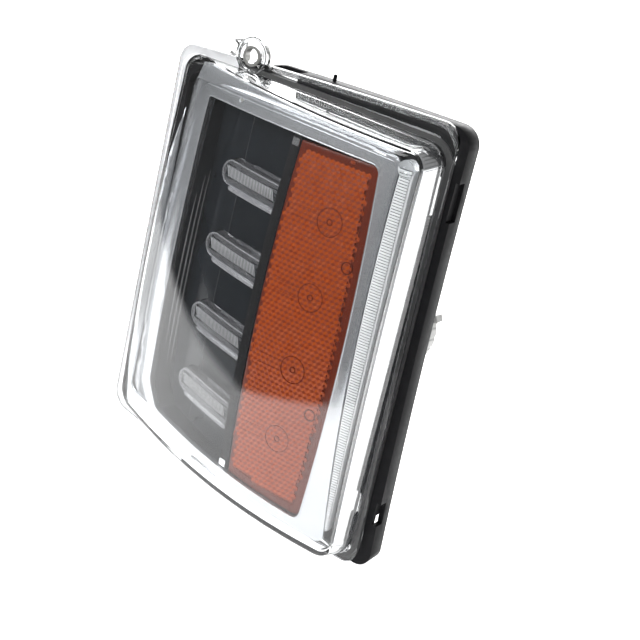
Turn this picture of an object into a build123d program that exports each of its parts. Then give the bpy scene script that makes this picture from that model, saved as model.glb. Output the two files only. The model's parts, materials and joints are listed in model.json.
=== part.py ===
from build123d import *
import math
import os

# Front corner lamp of a car: a clear lens tub over a silver frame, a black panel with four light
# bars, an amber turn-signal window and a side light strip, closed behind by a black housing.
# Millimetres. +X is to the right seen from in front, +Y is back into the car, +Z is up.
# Depths in this file count back from the foremost point of the lens. export() moves everything
# forward by DEPTH, so the origin lies on the housing's flat back face.

DEPTH = 50.0           # foremost point of the lens to the housing's back face
SWEEP_R = 302.0        # horizontal radius of the curved front
CROWN_R = 1180.0       # vertical radius of the curved front
APEX_X = 26.7          # the front is swept back on both sides of this line
APEX_Z = -5.0
SEAT = 21.0            # depth of the lens flange's front face
FLANGE_T = 3.0
LENS_T = 2.4
RIM_FRONT = SEAT + FLANGE_T + 1.0
CARRIER_Y = SEAT + 2.0  # depth of the inner carrier's front
RIM_BACK = 35.0        # depth of the housing rim's rear edge
SHELL = 2.5            # housing wall
SEAL_OUT = 1.6         # how far the sealant reaches outside and inside the lens wall's outer face
SEAL_IN = 1.2
SEAL_DEEP = 1.2

FRAME_D = 6.0          # depths of the inner parts behind the lens surface
FRAME_T = 2.4
AMBER_D = 8.0
AMBER_T = 2.6
PANEL_D = 17.0
PANEL_T = 2.2
STRIP_D = 4.2
STRIP_T = 8.0
GUIDE_D = 11.5

BAR_COUNT = 4          # light bars and their lamps
BAR_PITCH = 35.2
BAR_TOP_Z = 52.3
BAR_H = 12.5
BAR_LEFT = -46.0
BAR_RIGHT = -9.0
BAR_TILT = 2.0         # tilt of the top bar, and what each further bar adds
BAR_TILT_STEP = 2.0
LAMP_X = 22.0
LAMP_R = 6.3

BULB_X = 41.0          # axis of the turn-signal bulb and its twist-lock holder
BULB_Z = 3.0
HOLDER_HOLE_R = 15.0
HOLDER_R = HOLDER_HOLE_R - 0.06
HOLDER_FLANGE_R = 21.0
LUG_OUT = 2.2
LUG_COUNT = 3
TWIST = 30.0           # turn from locked to free

BOARD_Y = 31.0         # depth of the lamp board's front
BOARD_T = 1.6
BOARD_X = (8.0, 27.0)
BOARD_Z = (-68.0, 68.0)

BOARD_SCREW_R = 1.35
CARRIER_SCREW_R = 1.45
FRAME_SCREW_R = 1.05
SCREW_HEAD_R = 1.9     # head radius and thickness as shares of the shank's radius
SCREW_HEAD_T = 1.6
CROSS_W = 0.7

STUD_X = -40.0         # two mounting studs, one above the other
STUD_SPACING = 120.0
STUD_R = 3.0
STUD_NECK_R = 3.5      # the part of the stud inside the housing
STUD_OUT = 16.0
SEAT_R = 10.0          # flat round seat in the middle of the housing's back
SEAT_GROOVE = 1.5
SEAT_GROOVE_DEEP = 0.8
STUD_HEAD_R = 7.0

EAR_X = -43.0          # clear mounting ear above the flange
EAR_Z = 105.9
EAR_R = 8.5
EAR_HOLE_R = 3.3
EAR_SLEEVE_R = 4.6

PLUG_X = -15.0         # connector socket
PLUG_Z = -62.0
PLUG_W = 27.0
PLUG_H = 16.0
PLUG_WALL = 2.0
PLUG_OUT = 15.0
PIN_COUNT = 4
PIN_PITCH = 4.6

VENT_X = -6.0
VENT_Z = 70.0

# Outlines seen from in front: corner points, outward bow of the side after each one, corner radii.
LENS_FRONT = ([(-77, 95), (57.5, 94), (61.8, -96), (-77, -77)], [0.8, 1.6, 4.0, 0], [8, 9, 7, 9])
LENS_BASE = ([(-79.5, 98.5), (62.5, 98.5), (66.6, -100), (-79.5, -81)], [0.8, 0, 4.0, 0], [9, 10, 8, 10])
FLANGE = ([(-81.8, 101.6), (65, 108.2), (69.8, -102.4), (-81.8, -83.4)], [0.8, -1.6, 4.0, 0], [8, 9, 7, 10])
RIM = ([(-82.4, 99.8), (-52, 101.3), (-41, 102.0), (-32, 104.6), (68.6, 107), (75.2, -102.8), (-82.4, -84.2)],
       [0, 0, 0, 0.6, -1.6, 4.0, 0], [8, 2, 2, 3, 9, 7, 10])
BODY = ([(-78, 93.5), (60, 94), (63, -94), (-77.5, -78.5)], [0, 0, 3.5, 0], [10, 10, 10, 12])
FRAME = ([(-73.6, 88.6), (47.0, 89.8), (56.6, -92.5), (-73.4, -72.5)], [1.4, -2.2, 4.0, 0], [6, 3, 4, 7])
OPENING = ([(-61.2, 82.0), (38.6, 83.2), (41.8, -86.4), (-52.8, -74.4), (-61.3, -61.1)],
           [0.6, 4.3, 1.4, 0.5, 0], [1.5, 4, 4, 3, 3])
AMBER = ([(-2.4, 81.2), (38.1, 82.5), (41.3, -85.7), (-1.0, -82.0)], [0.1, 4.2, 0.5, 1.8], [0.6, 4, 4, 0.6])
STRIP = ([(48.4, 88.5), (54.8, 88.5), (58.6, -86), (57.0, -86)], [0, 1.2, 0, 2.0], [2.5, 3.0, 0.5, 0.5])


def moved_out(corners, margin):
    """The corner points after every side has moved out by a margin."""
    points = [Vector(*corner) for corner in corners]
    moved = []
    for i, point in enumerate(points):
        runs = [(point - points[i - 1]).normalized(), (points[(i + 1) % len(points)] - point).normalized()]
        before, after = [Vector(-run.Y, run.X) for run in runs]
        step = (before + after) * (margin / (1 + before.dot(after)))
        moved.append((point.X + step.X, point.Y + step.Y))
    return moved


def outline(shape, grow=0.0):
    """The flat face inside one of the outlines above, grown by a margin."""
    corners, bows, radii = shape
    corners = moved_out(corners, grow)
    sides = []
    for i, start in enumerate(corners):
        end = corners[(i + 1) % len(corners)]
        a, b = Vector(*start), Vector(*end)
        if bows[i] == 0:
            sides.append(Line(a, b))
        else:
            run = (b - a).normalized()
            middle = (a + b) * 0.5 + Vector(-run.Y, run.X) * bows[i]
            sides.append(ThreePointArc(a, middle, b))
    face = make_face(sides)
    for point, radius in zip(corners, radii):
        corner = face.vertices().sort_by_distance((point[0], point[1], 0))[0]
        face = fillet(corner, max(radius + grow, 0.4))
    return face


def facing(y):
    """The plane at a depth, seen from in front."""
    return Plane.XZ.offset(-y)


def prism(face, front, back):
    """A flat face made solid from one depth to another."""
    return extrude(facing(back) * face, amount=back - front)


def flare(front_face, front, back_face, back):
    """A solid whose outline changes evenly from one depth to another."""
    return loft([facing(front) * front_face, facing(back) * back_face], ruled=True)


def behind(depth):
    """Everything behind the curved front, moved back by a depth."""
    crown = CROWN_R - depth
    half = 125.0
    reach = math.sqrt(crown ** 2 - half ** 2) - (CROWN_R - SWEEP_R)
    near = reach - 130.0
    ends = [(near, -half), (reach, -half), (reach, half), (near, half)]
    front = ThreePointArc(ends[1], (SWEEP_R - depth, 0), ends[2])
    profile = make_face([Line(ends[0], ends[1]), front, Line(ends[2], ends[3]), Line(ends[3], ends[0])])
    axis_y = SWEEP_R
    section = Plane(origin=(APEX_X, axis_y, APEX_Z), x_dir=(0, -1, 0), z_dir=(-1, 0, 0)) * profile
    section = section.rotate(Axis((APEX_X, axis_y, 0), (0, 0, 1)), -32)
    return revolve(section, Axis((APEX_X, axis_y, 0), (0, 0, 1)), 64)


def shell(face, depth, thickness):
    """A sheet that follows the curved front inside an outline."""
    return prism(face, -10, 70) & (behind(depth) - behind(depth + thickness))


def box(x, y, z):
    """A box from its limits along each axis."""
    size = [high - low for low, high in (x, y, z)]
    middle = [(high + low) / 2 for low, high in (x, y, z)]
    return Pos(*middle) * Box(*size)


def disc(x, z, radius, front, back):
    """A round bar along the depth."""
    return prism(Pos(x, z) * Circle(radius), front, back)


def ring(x, z, outer, inner, front, back):
    return disc(x, z, outer, front, back) - disc(x, z, inner, front, back)


def bar_tilt(index):
    return BAR_TILT + index * BAR_TILT_STEP


def bar_face(index, margin=0.0, right=BAR_RIGHT):
    """A light bar's outline: a rounded left end, and a straight right end that hangs lower."""
    radius = BAR_H / 2 + margin
    pivot_x = BAR_LEFT + BAR_H / 2
    length = right - pivot_x
    face = Circle(radius) + Pos(length / 2, 0) * Rectangle(length, 2 * radius)
    return Pos(pivot_x, BAR_TOP_Z - index * BAR_PITCH) * Rot(0, 0, -bar_tilt(index)) * face


def lamp_places():
    return [(LAMP_X, BAR_TOP_Z - i * BAR_PITCH) for i in range(BAR_COUNT)]


def outer_lens():
    """Clear tub with a swept front, flared walls, a flange and one mounting ear."""
    outside = flare(outline(LENS_FRONT), 0, outline(LENS_BASE), SEAT + 1) & behind(0)
    inner_front = outline(LENS_FRONT, -LENS_T)
    inner_base = outline(LENS_BASE, -LENS_T)
    back = SEAT + FLANGE_T
    skirt = prism(outline(LENS_BASE), SEAT, back)
    inside = flare(inner_front, 0, inner_base, SEAT + 1) & behind(LENS_T)
    inside += prism(inner_base, SEAT + 1, back + 1)
    flange = prism(outline(FLANGE), SEAT, back) - prism(inner_base, SEAT - 1, back + 1)
    ear = disc(EAR_X, EAR_Z, EAR_R, SEAT, back)
    ear += box((EAR_X - EAR_R - 4, EAR_X + EAR_R + 2), (SEAT, back), (EAR_Z - 4, EAR_Z))
    ear -= box((EAR_X - 20, EAR_X + 20), (SEAT - 1, back + 1), (EAR_Z - 20, EAR_Z - 4))
    block = box((EAR_X - EAR_R - 4, EAR_X - EAR_R + 2), (SEAT, SEAT + 9), (EAR_Z - 3, EAR_Z + 5))
    lens = (outside + skirt) - inside + flange + ear + block
    lens -= disc(EAR_X, EAR_Z, EAR_SLEEVE_R, SEAT - 1, back + 1)
    for low, high in ((72.0, 79.5), (-76.0, -69.5)):
        lens += box((61.6, 68.6), (SEAT - 3, SEAT + 1), (low, high))
    return lens


def ear_sleeve():
    return ring(EAR_X, EAR_Z, EAR_SLEEVE_R, EAR_HOLE_R, SEAT - 0.4, SEAT + FLANGE_T + 0.4)


def lens_seal():
    """Bead of sealant in the channel between the lens flange and the housing."""
    band = outline(LENS_BASE, SEAL_OUT) - outline(LENS_BASE, -SEAL_IN)
    return prism(band, SEAT + FLANGE_T, RIM_FRONT + SEAL_DEEP)


def housing():
    """Black tub: sealing channel, outer rim with a raised loop on top, ribs between the rim and the
    deep body, recesses for the lens tabs, screw posts, stud seats and the bulb holder's keyed hole."""
    front = RIM_FRONT
    rim = prism(outline(RIM), front, RIM_BACK) - prism(outline(RIM, -SHELL), front + SHELL, RIM_BACK + 1)
    body = prism(outline(BODY), front, DEPTH)
    inside = prism(outline(BODY, -SHELL), front - 1, DEPTH - SHELL)
    channel = prism(outline(LENS_BASE, SEAL_OUT) - outline(LENS_BASE, -SEAL_IN), front - 1, front + SEAL_DEEP)
    shell_part = rim + body - inside - channel
    for i in range(6):
        z = -75 + i * 30
        rib = box((61, 80), (front + 2, RIM_BACK - 2), (z, z + 2))
        rib += box((-90, -76), (front + 2, RIM_BACK - 2), (z, z + 2))
        shell_part += rib & prism(outline(RIM, -0.5), front, RIM_BACK)
    window = make_face(Polyline((-35.5, 98.6), (-31, 102.4), (-20, 102.8), (-24.5, 99.0), close=True))
    shell_part -= prism(window, RIM_BACK - 5, RIM_BACK + 2)
    shell_part -= box((-34, -19), (front - 1, RIM_BACK - 3), (100.8, 110))
    shell_part -= box((-90, -39), (front + SHELL, RIM_BACK + 1), (97.2, 110))
    for low, high in ((66.5, 84.0), (-80.0, -69.0)):
        shell_part -= box((67.0 if low > 0 else 71.2, 80), (front - 1, front + 5), (low, high))
    shell_part -= disc(BULB_X, BULB_Z, HOLDER_HOLE_R, DEPTH - 5, DEPTH + 1)
    for i in range(LUG_COUNT):
        shell_part -= lug(i, 0.8, DEPTH - 5, DEPTH + 1, TWIST)
    shell_part -= box((PLUG_X - PLUG_W / 2 + 3, PLUG_X + PLUG_W / 2 - 3), (DEPTH - 5, DEPTH + 1),
                      (PLUG_Z - PLUG_H / 2 + 3, PLUG_Z + PLUG_H / 2 - 3))
    shell_part -= disc(VENT_X, VENT_Z, 3.0, DEPTH - 5, DEPTH + 1)
    for x, z in stud_places():
        shell_part += disc(x, z, STUD_HEAD_R + 2, DEPTH - 9, DEPTH)
        shell_part -= disc(x, z, STUD_NECK_R, DEPTH - 10, DEPTH + 1)
        shell_part -= disc(x, z, STUD_HEAD_R, DEPTH - 10, DEPTH - 5)
    for x, z in post_places():
        shell_part += disc(x, z, 3.6, BOARD_Y + BOARD_T + 2.0, DEPTH - 1)
        shell_part -= disc(x, z, 1.4, BOARD_Y, DEPTH - 6)
    for x, z in anchor_places():
        shell_part += disc(x, z, 3.6, front + 3, DEPTH - 1)
        shell_part -= disc(x, z, 1.5, front, DEPTH - 6)
    shell_part -= ring(0, 0, SEAT_R + SEAT_GROOVE, SEAT_R, DEPTH - SEAT_GROOVE_DEEP, DEPTH + 1)
    return shell_part


def lug(index, margin, front, back, turn=0.0):
    """One bayonet lug of the bulb holder."""
    piece = box((BULB_X + HOLDER_R - 2, BULB_X + HOLDER_R + LUG_OUT + margin), (front, back),
                (BULB_Z - 3 - margin, BULB_Z + 3 + margin))
    axis = Axis((BULB_X, 0, BULB_Z), (0, 1, 0))
    return piece.rotate(axis, index * 360 / LUG_COUNT + 90 + turn)


def stud_places():
    return [(STUD_X, side * STUD_SPACING / 2) for side in (1, -1)]


def post_places():
    return [(12.0, z) for z in (63.0, 0.0, -63.0)]


def anchor_places():
    return [(52.0, 76.0), (52.0, -72.0)]


def frame_posts():
    return [(-40.0, 87.0), (18.0, 87.6), (48.0, -87.5), (22.0, -87.5)]


def mount_stud(index):
    x, z = stud_places()[index]
    head = disc(x, z, STUD_HEAD_R - 0.2, DEPTH - 9, DEPTH - 5)
    neck = disc(x, z, STUD_NECK_R - 0.02, DEPTH - 5, DEPTH)
    return head + neck + disc(x, z, STUD_R, DEPTH - 0.5, DEPTH + STUD_OUT)


def frame_bezel():
    """Silver frame round the opening, with a skirt back along the top, left and bottom."""
    face = outline(FRAME) - outline(OPENING)
    frame = shell(face, FRAME_D, FRAME_T)
    skirt = (outline(FRAME) - outline(FRAME, -1.8)) - Pos(60, 0) * Rectangle(40, 230)
    walls = prism(skirt, -10, SEAT + 1.5) & behind(FRAME_D)
    lip = (outline(LENS_BASE, -LENS_T - 0.5) - outline(FRAME, -1.0)) - Pos(60, 0) * Rectangle(40, 230)
    frame += walls + (prism(lip, SEAT, SEAT + 1.5) & behind(LENS_T + 0.4))
    for x, z in frame_posts():
        frame += disc(x, z, 2.4, 0, CARRIER_Y) & behind(FRAME_D + 1)
        frame -= disc(x, z, 1.2, CARRIER_Y - 6, CARRIER_Y)
    return frame


def carrier():
    """Black inner ring that the frame, the panel and the side strip are fixed to."""
    outer = outline(LENS_BASE, -LENS_T - 1.6)
    hole = outline(OPENING, 1.3)
    plate = prism(outer - hole, CARRIER_Y, RIM_FRONT - 0.2) & behind(FRAME_D + FRAME_T + 0.3)
    right = Pos(60, 0) * Rectangle(40, 260)
    wall_face = (outline(LENS_FRONT, -LENS_T - 0.8) & right) - outline(FRAME, 0.4)
    wall = prism(wall_face, -10, CARRIER_Y + 0.5) & behind(STRIP_D + STRIP_T + 0.3)
    carrier_part = plate + wall
    carrier_part -= disc(BULB_X, BULB_Z, 16.9, 0, 40)
    for x, z in anchor_places():
        carrier_part -= disc(x, z, 1.6, 0, 40)
        carrier_part -= disc(x, z, 3.4, 0, CARRIER_Y)
    for x, z in frame_posts():
        carrier_part -= disc(x, z, 1.4, 0, 40)
    return carrier_part


def black_panel():
    """Black pan: a floor with four bar openings and a drafted wall round it."""
    left = Pos(-58, 0) * Rectangle(100, 260)
    rim_face = outline(OPENING, 0.9) & left
    top_d = FRAME_D + FRAME_T + 0.05
    outer = prism(rim_face, -10, 70) & (behind(top_d) - behind(PANEL_D + PANEL_T))
    deep = ([(-56.9, 81.0), (-8.1, 81.6), (-8.1, -79.5), (-49.5, -73.4), (-56.9, -60.5)],
            [0.2, 0, 1.0, 0.5, 0], [1.5, 0.5, 0.5, 3, 3])
    wide = ([(-61.2, 81.9), (-8.0, 82.5), (-8.0, -80.8), (-52.8, -74.3), (-61.3, -61.0)],
            [0.2, 0, 1.0, 0.5, 0], [1.5, 0.5, 0.5, 3, 3])
    cavity = flare(outline(wide), 19.0, outline(deep), 30.0) + prism(outline(wide), -10, 19.0)
    panel = outer - (cavity & (behind(-5) - behind(PANEL_D)))
    for i in range(BAR_COUNT):
        panel -= prism(bar_face(i, 0.0, BAR_RIGHT + 12), 0, 60)
    return panel


def divider_trim():
    """Dark strip that covers the bars' right ends beside the amber window."""
    face = outline(([(-7.8, 81.8), (-3.1, 82.0), (-2.2, -82.0), (-7.2, -81.0)], [0, -1.8, 0, 1.8], [0.4] * 4))
    return shell(face, AMBER_D + 0.6, 2.6)


def divider_clips():
    """Two small bright clips at the ends of the divider."""
    clips = []
    for z in (79.5, -79.5):
        clips.append(shell(Pos(-5.2, z) * Rectangle(3.6, 3.4), AMBER_D - 0.4, 0.95))
    return Compound(children=clips)


def light_guide(index):
    """Clear bar in its opening, carried on to the right as a rod with a round coupler."""
    window = shell(bar_face(index, -0.5, BAR_RIGHT - 0.5), GUIDE_D, PANEL_D + PANEL_T - GUIDE_D + 1)
    z = BAR_TOP_Z - index * BAR_PITCH
    drop = (BAR_RIGHT - BAR_LEFT - BAR_H / 2) * math.tan(math.radians(bar_tilt(index)))
    half = 2.6
    left = BAR_RIGHT - 3
    arm_face = make_face(Polyline((left, z - drop - half), (LAMP_X, z - half), (LAMP_X, z + half),
                                  (left, z - drop + half), close=True))
    arm = shell(arm_face, PANEL_D - 2.0, 4.0)
    coupler = disc(LAMP_X, z, LAMP_R, 0, BOARD_Y - 1.6) & behind(AMBER_D + AMBER_T + 0.6)
    return window + arm + coupler


def amber_lens():
    """Amber window: reflex optics and turn signal."""
    lens = shell(outline(AMBER), AMBER_D, AMBER_T)
    edge = (outline(AMBER) - outline(AMBER, -1.6)) & (Pos(40, 0) * Rectangle(20, 260))
    lens += shell(edge, AMBER_D, AMBER_T + 1.2)
    return lens


def side_light_guide():
    """Clear strip along the right side of the frame, with a domed top end."""
    return shell(outline(STRIP), STRIP_D, STRIP_T)


def side_led_board():
    return box((47.5, 56.5), (RIM_FRONT + 0.2, RIM_FRONT + 1.6), (28, 66))


def lamp_board():
    board = box(BOARD_X, (BOARD_Y, BOARD_Y + BOARD_T), BOARD_Z)
    for x, z in post_places():
        board -= disc(x, z, 1.7, 0, 60)
    return board


def board_leds():
    """One lamp chip behind each coupler."""
    chips = [box((x - 1.7, x + 1.7), (BOARD_Y - 0.9, BOARD_Y), (z - 1.7, z + 1.7)) for x, z in lamp_places()]
    return Compound(children=chips)


def board_parts():
    """Drivers, coils and capacitors on the lamp board."""
    parts = []
    for i in range(BAR_COUNT - 1):
        z = BAR_TOP_Z - (i + 0.5) * BAR_PITCH
        half = 3.0 + (i % 2) * 1.2
        parts.append(box((21.0 - half, 21.0 + half), (BOARD_Y - 2.2, BOARD_Y), (z - 2.5, z + 2.5)))
    return Compound(children=parts)


def heat_sink():
    """Aluminium plate with fins behind the lamp board."""
    back = BOARD_Y + BOARD_T
    plate = box(BOARD_X, (back, back + 2.0), BOARD_Z)
    for i in range(5):
        x = BOARD_X[0] + 8.4 + i * 2.3
        plate += box((x, x + 1.0), (back + 1.5, back + 9.0), (BOARD_Z[0] + 10, BOARD_Z[1] - 10))
    for x, z in post_places():
        plate -= disc(x, z, 1.7, 0, 60)
    return plate


def screw(x, z, head_depth, length, radius):
    """Pan-head screw driven backwards, with a cross recess."""
    top = head_depth - SCREW_HEAD_T * radius
    half = CROSS_W / 2
    head = disc(x, z, SCREW_HEAD_R * radius, top, head_depth)
    shank = disc(x, z, radius, head_depth, head_depth + length)
    cross = box((x - radius, x + radius), (top - 1, head_depth - radius), (z - half, z + half))
    cross += box((x - half, x + half), (top - 1, head_depth - radius), (z - radius, z + radius))
    return head + shank - cross


def board_screws():
    return Compound(children=[screw(x, z, BOARD_Y, 9.0, BOARD_SCREW_R) for x, z in post_places()])


def carrier_screws():
    """Screws that hold the carrier to the housing's long posts."""
    return Compound(children=[screw(x, z, CARRIER_Y, 14.0, CARRIER_SCREW_R) for x, z in anchor_places()])


def frame_screws():
    """Screws driven forwards through the carrier into the frame's posts."""
    flip = Rot(0, 0, 180)
    screws = []
    for x, z in frame_posts():
        back = RIM_FRONT - 0.2
        screws.append(Pos(x, back, z) * flip * screw(0, 0, 0, back - CARRIER_Y + 5.5, FRAME_SCREW_R))
    return Compound(children=screws)


def reflector():
    """Bright bowl round the bulb, behind the amber window."""
    front, back = 15.0, DEPTH - 7.5
    outer = flare(Circle(15.5), front, Circle(8.8), back).translate((BULB_X, 0, BULB_Z))
    inner = flare(Circle(14.5), front, Circle(7.8), back).translate((BULB_X, 0, BULB_Z))
    lip = ring(BULB_X, BULB_Z, 16.3, 14.5, front, front + 1.2)
    return (outer - inner + lip) & behind(AMBER_D + AMBER_T + 1.8)


def bulb_glass():
    """Domed envelope with a narrow neck, on the holder's axis."""
    radius, neck = 6.6, 4.2
    base, waist, swell, dome = 43.2, 39.5, 34.0, 29.0
    glass = disc(BULB_X, BULB_Z, neck, waist, base)
    glass += flare(Circle(radius), swell, Circle(neck), waist).translate((BULB_X, 0, BULB_Z))
    glass += disc(BULB_X, BULB_Z, radius, dome, swell)
    return glass + Pos(BULB_X, dome, BULB_Z) * Sphere(radius)


def bulb_base():
    """Metal base between the glass and the holder."""
    return disc(BULB_X, BULB_Z, 5.6, 43.2, DEPTH)


def bulb_holder():
    """Light grey twist-lock holder: neck, three lugs, gripping flange, thumb tab and socket."""
    axis = Axis((BULB_X, 0, BULB_Z), (0, 1, 0))
    neck = disc(BULB_X, BULB_Z, HOLDER_R, DEPTH - 6.5, DEPTH + 1.6)
    flange = disc(BULB_X, BULB_Z, HOLDER_FLANGE_R, DEPTH + 1.5, DEPTH + 9.5)
    step = disc(BULB_X, BULB_Z, HOLDER_FLANGE_R - 2.2, DEPTH + 9.5, DEPTH + 12.5)
    holder = neck + flange + step
    for i in range(LUG_COUNT):
        holder += lug(i, 0.0, DEPTH - 6.5, DEPTH - SHELL - 0.3)
    for i in range(24):
        flute = disc(BULB_X + HOLDER_FLANGE_R + 0.5, BULB_Z, 0.9, DEPTH + 3.0, DEPTH + 10)
        holder -= flute.rotate(axis, i * 15)
    tab = box((BULB_X + HOLDER_FLANGE_R - 2, BULB_X + HOLDER_FLANGE_R + 1.7), (DEPTH + 6.5, DEPTH + 12.0),
              (BULB_Z - 1.6, BULB_Z + 1.6))
    holder += tab.rotate(axis, -25)
    grip = box((BULB_X - 14, BULB_X + 14), (DEPTH + 12, DEPTH + 17), (BULB_Z - 3, BULB_Z + 3))
    holder += grip
    holder += box((BULB_X - 9, BULB_X + 9), (DEPTH + 12, DEPTH + 22), (BULB_Z - 6.5, BULB_Z + 6.5))
    holder -= box((BULB_X - 7.2, BULB_X + 7.2), (DEPTH + 12, DEPTH + 23), (BULB_Z - 4.7, BULB_Z + 4.7))
    holder -= disc(BULB_X, BULB_Z, 5.6, DEPTH - 7, DEPTH)
    for i in range(2):
        x = BULB_X - 2.6 + i * 5.2
        holder -= box((x - 1.2, x + 1.2), (DEPTH - 1, DEPTH + 13), (BULB_Z - 0.4, BULB_Z + 0.4))
    return holder


def holder_terminals():
    blades = []
    for i in range(2):
        x = BULB_X - 2.6 + i * 5.2
        blades.append(box((x - 1.2, x + 1.2), (DEPTH, DEPTH + 17), (BULB_Z - 0.4, BULB_Z + 0.4)))
    return Compound(children=blades)


def holder_seal():
    return ring(BULB_X, BULB_Z, 20.4, 18.3, DEPTH + 0.1, DEPTH + 1.5)


def connector_socket():
    """Shrouded socket for the lamp's plug, with two keying ribs."""
    base = box((PLUG_X - PLUG_W / 2 - 2, PLUG_X + PLUG_W / 2 + 2), (DEPTH, DEPTH + 2),
               (PLUG_Z - PLUG_H / 2 - 2, PLUG_Z + PLUG_H / 2 + 2))
    shroud = box((PLUG_X - PLUG_W / 2, PLUG_X + PLUG_W / 2), (DEPTH + 1, DEPTH + PLUG_OUT),
                 (PLUG_Z - PLUG_H / 2, PLUG_Z + PLUG_H / 2))
    stem = box((PLUG_X - PLUG_W / 2 + 3.2, PLUG_X + PLUG_W / 2 - 3.2), (DEPTH - 4, DEPTH + 1),
               (PLUG_Z - PLUG_H / 2 + 3.2, PLUG_Z + PLUG_H / 2 - 3.2))
    cavity = box((PLUG_X - PLUG_W / 2 + PLUG_WALL, PLUG_X + PLUG_W / 2 - PLUG_WALL),
                 (DEPTH + 3, DEPTH + PLUG_OUT + 1),
                 (PLUG_Z - PLUG_H / 2 + PLUG_WALL, PLUG_Z + PLUG_H / 2 - PLUG_WALL))
    catch = box((PLUG_X - 3, PLUG_X + 3), (DEPTH + 6, DEPTH + 9),
                (PLUG_Z + PLUG_H / 2 - 0.5, PLUG_Z + PLUG_H / 2 + 1.5))
    part = base + shroud + stem - cavity + catch
    for i in range(PIN_COUNT):
        x = PLUG_X + (i - (PIN_COUNT - 1) / 2) * PIN_PITCH
        part -= box((x - 0.8, x + 0.8), (DEPTH - 5, DEPTH + 4), (PLUG_Z - 0.4, PLUG_Z + 0.4))
    return part


def connector_pins():
    pins = []
    for i in range(PIN_COUNT):
        x = PLUG_X + (i - (PIN_COUNT - 1) / 2) * PIN_PITCH
        pins.append(box((x - 0.8, x + 0.8), (DEPTH - 7, DEPTH + 9), (PLUG_Z - 0.4, PLUG_Z + 0.4)))
    return Compound(children=pins)


def vent_cap():
    """Breather cap over the vent hole."""
    cap = disc(VENT_X, VENT_Z, 8.0, DEPTH, DEPTH + 5) + disc(VENT_X, VENT_Z, 2.95, DEPTH - 3.5, DEPTH)
    for i in range(8):
        notch = box((VENT_X + 5.5, VENT_X + 9), (DEPTH + 3.2, DEPTH + 6), (VENT_Z - 0.7, VENT_Z + 0.7))
        cap -= notch.rotate(Axis((VENT_X, 0, VENT_Z), (0, 1, 0)), i * 45)
    return cap


def parts():
    """Every node's name and shape."""
    named = {
        "outer_lens": outer_lens(), "ear_sleeve": ear_sleeve(), "lens_seal": lens_seal(),
        "housing": housing(), "frame_bezel": frame_bezel(), "inner_carrier": carrier(),
        "black_panel": black_panel(), "divider_trim": divider_trim(), "divider_clips": divider_clips(),
        "amber_lens": amber_lens(), "side_light_guide": side_light_guide(),
        "side_led_board": side_led_board(), "lamp_board": lamp_board(), "board_leds": board_leds(),
        "board_parts": board_parts(), "heat_sink": heat_sink(), "board_screws": board_screws(),
        "frame_screws": frame_screws(), "carrier_screws": carrier_screws(),
        "turn_reflector": reflector(), "bulb_glass": bulb_glass(), "bulb_base": bulb_base(),
        "bulb_holder": bulb_holder(), "holder_terminals": holder_terminals(),
        "holder_seal": holder_seal(), "connector_socket": connector_socket(),
        "connector_pins": connector_pins(), "vent_cap": vent_cap(),
    }
    for i in range(BAR_COUNT):
        named[f"light_guide_{i + 1}"] = light_guide(i)
    for i, name in enumerate(("mount_stud_upper", "mount_stud_lower")):
        named[name] = mount_stud(i)
    return named


def export():
    os.makedirs("parts", exist_ok=True)
    for name, shape in parts().items():
        export_step(shape.moved(Location((0, -DEPTH, 0))), f"parts/{name}.step")


export()
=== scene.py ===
import json
import math

import bmesh
import bpy
from mathutils import Matrix, Vector


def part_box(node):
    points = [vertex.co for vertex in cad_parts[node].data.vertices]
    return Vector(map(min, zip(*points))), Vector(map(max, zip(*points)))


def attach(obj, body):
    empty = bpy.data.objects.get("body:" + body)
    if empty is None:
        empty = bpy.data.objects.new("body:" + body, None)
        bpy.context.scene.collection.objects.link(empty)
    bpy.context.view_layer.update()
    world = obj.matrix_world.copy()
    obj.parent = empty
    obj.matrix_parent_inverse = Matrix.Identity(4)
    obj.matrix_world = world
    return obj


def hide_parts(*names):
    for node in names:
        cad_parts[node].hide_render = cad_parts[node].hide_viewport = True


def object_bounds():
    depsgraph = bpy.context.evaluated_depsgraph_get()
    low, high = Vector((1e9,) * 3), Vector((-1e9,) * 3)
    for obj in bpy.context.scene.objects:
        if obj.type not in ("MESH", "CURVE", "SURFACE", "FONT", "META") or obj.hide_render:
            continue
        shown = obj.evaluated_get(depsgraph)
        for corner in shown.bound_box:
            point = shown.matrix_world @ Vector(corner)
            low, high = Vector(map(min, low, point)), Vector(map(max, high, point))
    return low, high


# The looks of a front corner lamp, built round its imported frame. The frame is in metres, with +X to
# the right seen from in front, +Y back into the car and +Z up. Shapes below are worked out in
# millimetres, with depths counted back from the foremost point of the lens.

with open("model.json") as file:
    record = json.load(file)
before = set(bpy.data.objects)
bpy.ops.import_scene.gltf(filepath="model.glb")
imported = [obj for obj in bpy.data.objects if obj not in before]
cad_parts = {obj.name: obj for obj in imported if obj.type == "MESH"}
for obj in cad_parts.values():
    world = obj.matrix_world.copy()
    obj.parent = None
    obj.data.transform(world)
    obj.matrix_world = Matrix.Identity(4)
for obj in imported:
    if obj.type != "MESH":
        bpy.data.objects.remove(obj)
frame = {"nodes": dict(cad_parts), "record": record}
cad_low, cad_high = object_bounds()
nodes = frame["nodes"]

MM = 0.001
FRONT_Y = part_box("outer_lens")[0].y      # the foremost point of the lens

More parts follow.
